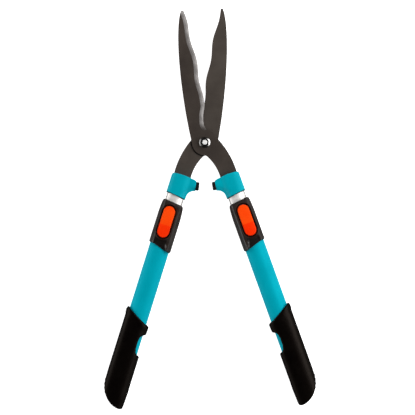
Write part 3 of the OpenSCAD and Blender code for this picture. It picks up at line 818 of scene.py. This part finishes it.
def spun(profile, steps=64):
    """A closed ring or disc about the pivot; profile lists (radius, z) all the way round its section."""
    bm = bmesh.new()
    loops = []
    for i in range(steps):
        a = 2 * math.pi * i / steps
        ring = [(pivot.x + r * math.cos(a), pivot.y + r * math.sin(a), z) for r, z in profile]
        loops.append([bm.verts.new(point) for point in ring])
    for i in range(steps):
        for j in range(len(profile)):
            bm.faces.new((loops[i - 1][j - 1], loops[i][j - 1], loops[i][j], loops[i - 1][j]))
    bmesh.ops.remove_doubles(bm, verts=bm.verts, dist=1e-7)
    return bm


def washer():
    """The washer under the nut, whose upper face falls away to its rim."""
    low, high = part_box("pivot_washer")
    outer, height = (high.x - low.x) / 2, high.z - low.z
    section = [(WASHER_BORE, low.z)]
    for k in (0, 0.2, 0.4, 0.6, 0.8, 0.93, 0.985):
        section.append((WASHER_BORE + (outer - WASHER_BORE) * k, high.z - height * 0.85 * k**2.2))
    section += [(outer, high.z - height * 0.93), (outer, low.z)]
    return shown("washer_cambered", spun(section))


blade("blade_front", coated_front)
blade("blade_rear", coated_rear)
place(washer(), washer_steel, "pivot_washer", "plated_steel")
place(shown("nut_hex", eased("pivot_nut", 0.3 * MM)), blackened, "pivot_nut", "blackened_steel")
# the bolt's near-white steel is a painted highlight
place(shown("bolt_carriage", eased("pivot_bolt", 0.15 * MM)), bright, "pivot_bolt", "plated_steel")

# ---- CAD nodes that keep their shape ----

kept = {
    "bearing_washer": bronze,
    "tang_rivet": plated,
    "slide_plug": black_nylon,
    "guide_bush": black_nylon,
    "sleeve_screw": plated,
    "brake_pad": bumper_rubber,
    "button_axle": blackened,
    "button_spring": spring_steel,
    "stop_rivet": plated,
    "end_plug": black_nylon,
    "inner_tube": anodised,
    "outer_tube": teal_tube,
}
for name, node in frame["nodes"].items():
    if node.hide_render:  # a piece above stands for it
        continue
    base, _, side = name.rpartition("_")
    material = kept.get(name) or kept[base]
    if isinstance(material, dict):
        material = material[side]
    node.data.materials.clear()
    node.data.materials.append(material)

# ---- floor, light and camera ----

VIEW_WIDTH = 705.5 * MM
VIEW_CENTRE = Vector((2.2, 0.7, 0)) * MM
VIEW_TURN = -1.25  # degrees
CAMERA_HEIGHT = 3.2  # metres
FLOOR_DROP = 0.3 * MM
ENDS_DIM = 0.25  # brightness of the room beyond the tips and grips, against that at the sides


def flat_floor():
    """White paper that also shines of its own, so that it stays blank."""
    bm = bmesh.new()
    bmesh.ops.create_grid(bm, x_segments=1, y_segments=1, size=12)
    for v in bm.verts:
        v.co.z = -FLOOR_DROP
    floor = shown("floor", bm)
    material = bpy.data.materials.new("floor_paper")
    material.use_nodes = True
    shader = material.node_tree.nodes["Principled BSDF"]
    shader.inputs["Base Color"].default_value = (0.8, 0.8, 0.8, 1)
    shader.inputs["Roughness"].default_value = 0.9
    shader.inputs["Emission Color"].default_value = (1, 1, 1, 1)
    shader.inputs["Emission Strength"].default_value = 1.0
    floor.data.materials.append(material)
    floor.visible_glossy = False


def softbox(name, place_at, size, power):
    """A soft light that points at the middle of the shears; metres and watts."""
    light = bpy.data.lights.new(name, "AREA")
    light.shape = "RECTANGLE"
    light.size, light.size_y = size
    light.energy = power
    obj = bpy.data.objects.new(name, light)
    obj.location = place_at
    obj.rotation_mode = "QUATERNION"
    obj.rotation_quaternion = (-Vector(place_at)).to_track_quat("-Z", "Y")
    bpy.context.scene.collection.objects.link(obj)


flat_floor()
softbox("light_right", (1.35, 0.35, 1.5), (2.6, 1.1), 47)
softbox("light_left", (-1.75, 0.2, 0.75), (2.6, 0.9), 20)


def studio_world(sky):
    """A room that is brightest just above floor level.

    sky lists (height, brightness), where the height runs from 0 straight down to 1 overhead.
    """
    world = bpy.data.worlds.new("studio")
    world.use_nodes = True
    nodes, links = world.node_tree.nodes, world.node_tree.links
    where = nodes.new("ShaderNodeTexCoord")
    split = nodes.new("ShaderNodeSeparateXYZ")
    ramp = nodes.new("ShaderNodeValToRGB")
    links.new(where.outputs["Generated"], split.inputs["Vector"])
    up = nodes.new("ShaderNodeMapRange")
    up.inputs["From Min"].default_value = -1
    links.new(split.outputs["Z"], up.inputs["Value"])
    links.new(up.outputs["Result"], ramp.inputs["Fac"])
    while len(ramp.color_ramp.elements) < len(sky):
        ramp.color_ramp.elements.new(0.5)
    for element, (height, bright) in zip(ramp.color_ramp.elements, sky):
        element.position = height
        element.color = (bright, bright, bright, 1)
    across = nodes.new("ShaderNodeMath")
    across.operation = "ABSOLUTE"
    links.new(split.outputs["X"], across.inputs[0])
    fall = nodes.new("ShaderNodeMapRange")
    fall.inputs["From Min"].default_value = 0.1
    fall.inputs["From Max"].default_value = 0.7
    fall.inputs["To Min"].default_value = ENDS_DIM
    fall.inputs["To Max"].default_value = 1.0
    links.new(across.outputs[0], fall.inputs["Value"])
    links.new(ramp.outputs["Color"], nodes["Background"].inputs["Color"])
    links.new(fall.outputs["Result"], nodes["Background"].inputs["Strength"])
    bpy.context.scene.world = world


studio_world(((0, 0.1), (0.4, 0.3), (0.5, 0.9), (0.62, 0.9), (0.75, 0.4), (0.9, 0.1), (1.0, 0.05)))
bpy.context.scene.view_settings.view_transform = "Standard"

camera_data = bpy.data.cameras.new("camera")
camera = bpy.data.objects.new("camera", camera_data)
camera.location = VIEW_CENTRE + Vector((0, 0, mid + CAMERA_HEIGHT))
camera.rotation_euler = (0, 0, math.radians(VIEW_TURN))
camera_data.lens = camera_data.sensor_width * CAMERA_HEIGHT / VIEW_WIDTH
camera_data.clip_end = 100
bpy.context.scene.collection.objects.link(camera)
bpy.context.scene.camera = camera
